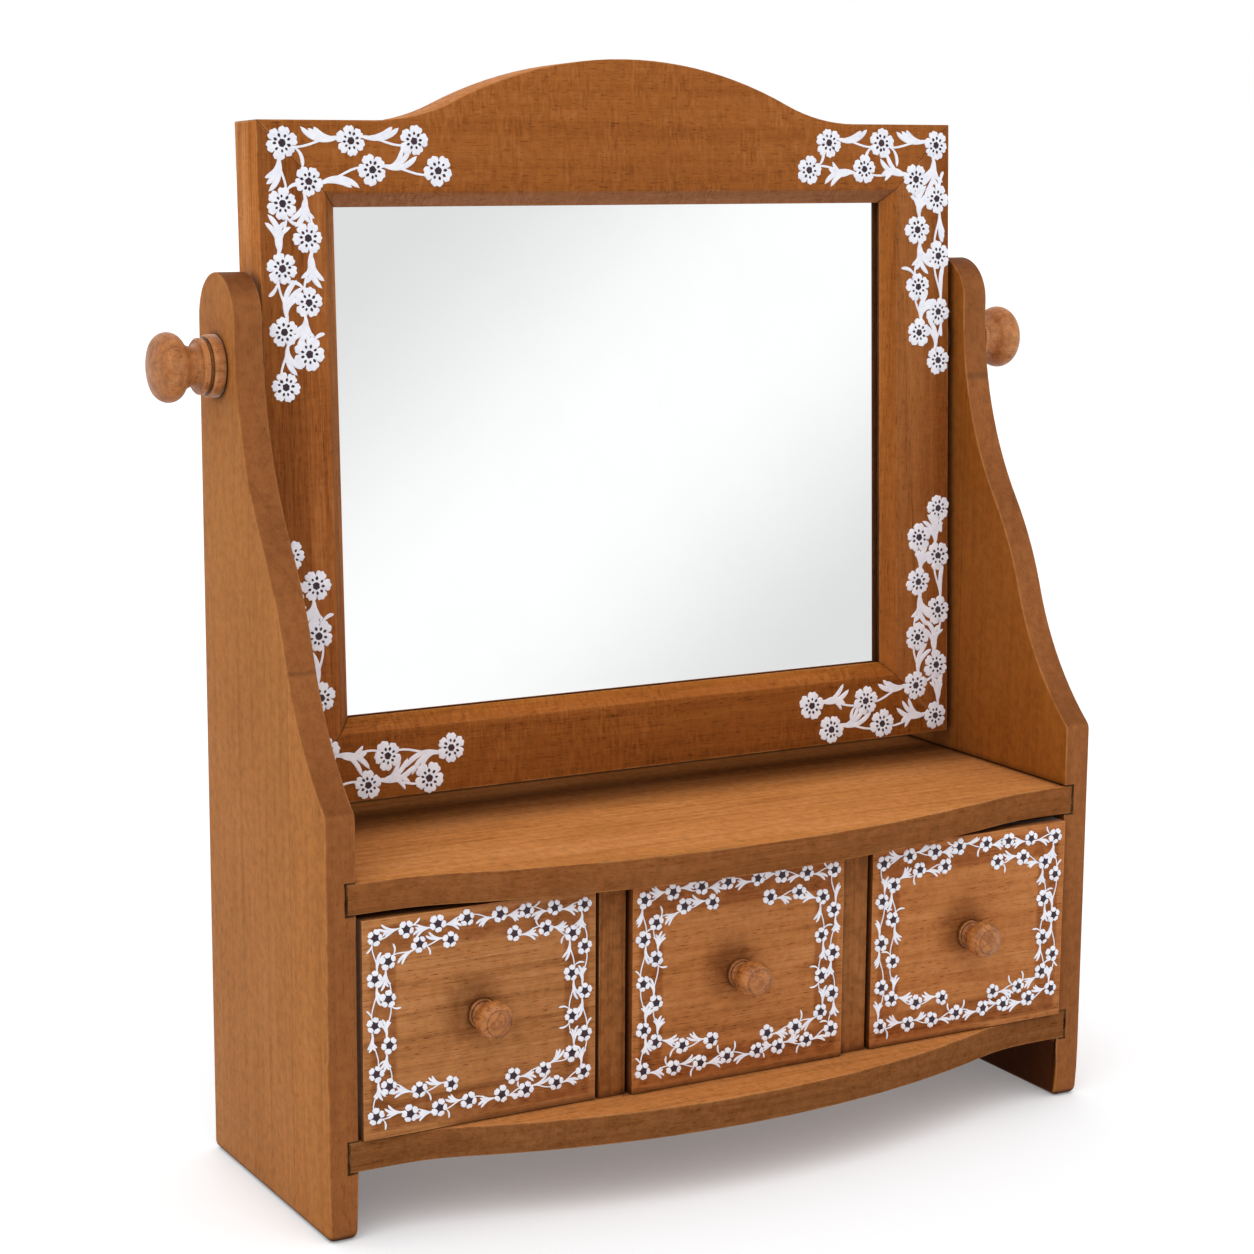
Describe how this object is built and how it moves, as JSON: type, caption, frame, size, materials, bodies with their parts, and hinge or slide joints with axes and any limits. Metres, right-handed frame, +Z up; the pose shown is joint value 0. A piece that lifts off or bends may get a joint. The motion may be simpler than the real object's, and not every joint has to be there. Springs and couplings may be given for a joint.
{
  "type": "tabletop vanity mirror with drawers",
  "caption": "Wooden dressing-table mirror: arched frame swinging between S-curved side panels on turned clamp knobs, over a bow-fronted shelf and base with small sliding drawers.",
  "frame": {"origin": "on the table, in the middle of the width and of the depth", "axes": "+X to the viewer's right, +Y to the back (the drawers open towards -Y), +Z up"},
  "size_m": [0.461, 0.1626, 0.499],
  "materials": {
    "case_wood": "stained, satin varnish",
    "frame_wood": "stained, satin varnish",
    "drawer_front_wood": "stained, satin varnish",
    "drawer_box_wood": "plain, sanded",
    "knob_wood": "turned, stained, satin varnish",
    "thin_board": "thin hardboard",
    "mirror": "silvered glass",
    "steel": "zinc-plated",
    "brass": "plain",
    "washer_plastic": "moulded"
  },
  "bodies": {
    "carcass": {"left_side_panel": "case_wood", "right_side_panel": "case_wood", "shelf_board": "case_wood", "base_board": "case_wood", "left_divider": "case_wood", "right_divider": "case_wood", "back_panel": "thin_board", "back_panel_pins": "steel"},
    "mirror": {"frame_top_rail": "frame_wood", "frame_bottom_rail": "frame_wood", "frame_left_stile": "frame_wood", "frame_right_stile": "frame_wood", "mirror_glass": "mirror", "mirror_backing_board": "thin_board", "backing_points": "steel", "left_pivot_insert": "brass", "right_pivot_insert": "brass", "left_spacer_washer": "washer_plastic", "right_spacer_washer": "washer_plastic"},
    "left_knob": {"left_pivot_knob": "knob_wood", "left_pivot_stud": "steel"},
    "right_knob": {"right_pivot_knob": "knob_wood", "right_pivot_stud": "steel"},
    "left_drawer": {"left_drawer_front": "drawer_front_wood", "left_drawer_left_side": "drawer_box_wood", "left_drawer_right_side": "drawer_box_wood", "left_drawer_back": "drawer_box_wood", "left_drawer_bottom": "thin_board", "left_drawer_knob": "knob_wood", "left_drawer_knob_screw": "steel"},
    "middle_drawer": {"middle_drawer_front": "drawer_front_wood", "middle_drawer_left_side": "drawer_box_wood", "middle_drawer_right_side": "drawer_box_wood", "middle_drawer_back": "drawer_box_wood", "middle_drawer_bottom": "thin_board", "middle_drawer_knob": "knob_wood", "middle_drawer_knob_screw": "steel"},
    "right_drawer": {"right_drawer_front": "drawer_front_wood", "right_drawer_left_side": "drawer_box_wood", "right_drawer_right_side": "drawer_box_wood", "right_drawer_back": "drawer_box_wood", "right_drawer_bottom": "thin_board", "right_drawer_knob": "knob_wood", "right_drawer_knob_screw": "steel"}
  },
  "joints": [
    {"name": "mirror_swing", "type": "hinge", "parent": "carcass", "child": "mirror", "pos_m": [0, 0.0608, 0.3645], "axis": [1, 0, 0], "continuous": true},
    {"name": "left_knob_turn", "type": "hinge", "parent": "mirror", "child": "left_knob", "pos_m": [-0.206, 0.0608, 0.3645], "axis": [-1, 0, 0], "range_deg": [0, 180]},
    {"name": "right_knob_turn", "type": "hinge", "parent": "mirror", "child": "right_knob", "pos_m": [0.206, 0.0608, 0.3645], "axis": [1, 0, 0], "range_deg": [0, 180]},
    {"name": "left_drawer_slide", "type": "slide", "parent": "carcass", "child": "left_drawer", "axis": [0, -1, 0], "range_m": [-0.001, 0.085]},
    {"name": "middle_drawer_slide", "type": "slide", "parent": "carcass", "child": "middle_drawer", "axis": [0, -1, 0], "range_m": [-0.004, 0.085]},
    {"name": "right_drawer_slide", "type": "slide", "parent": "carcass", "child": "right_drawer", "axis": [0, -1, 0], "range_m": [-0.0025, 0.085]}
  ]
}
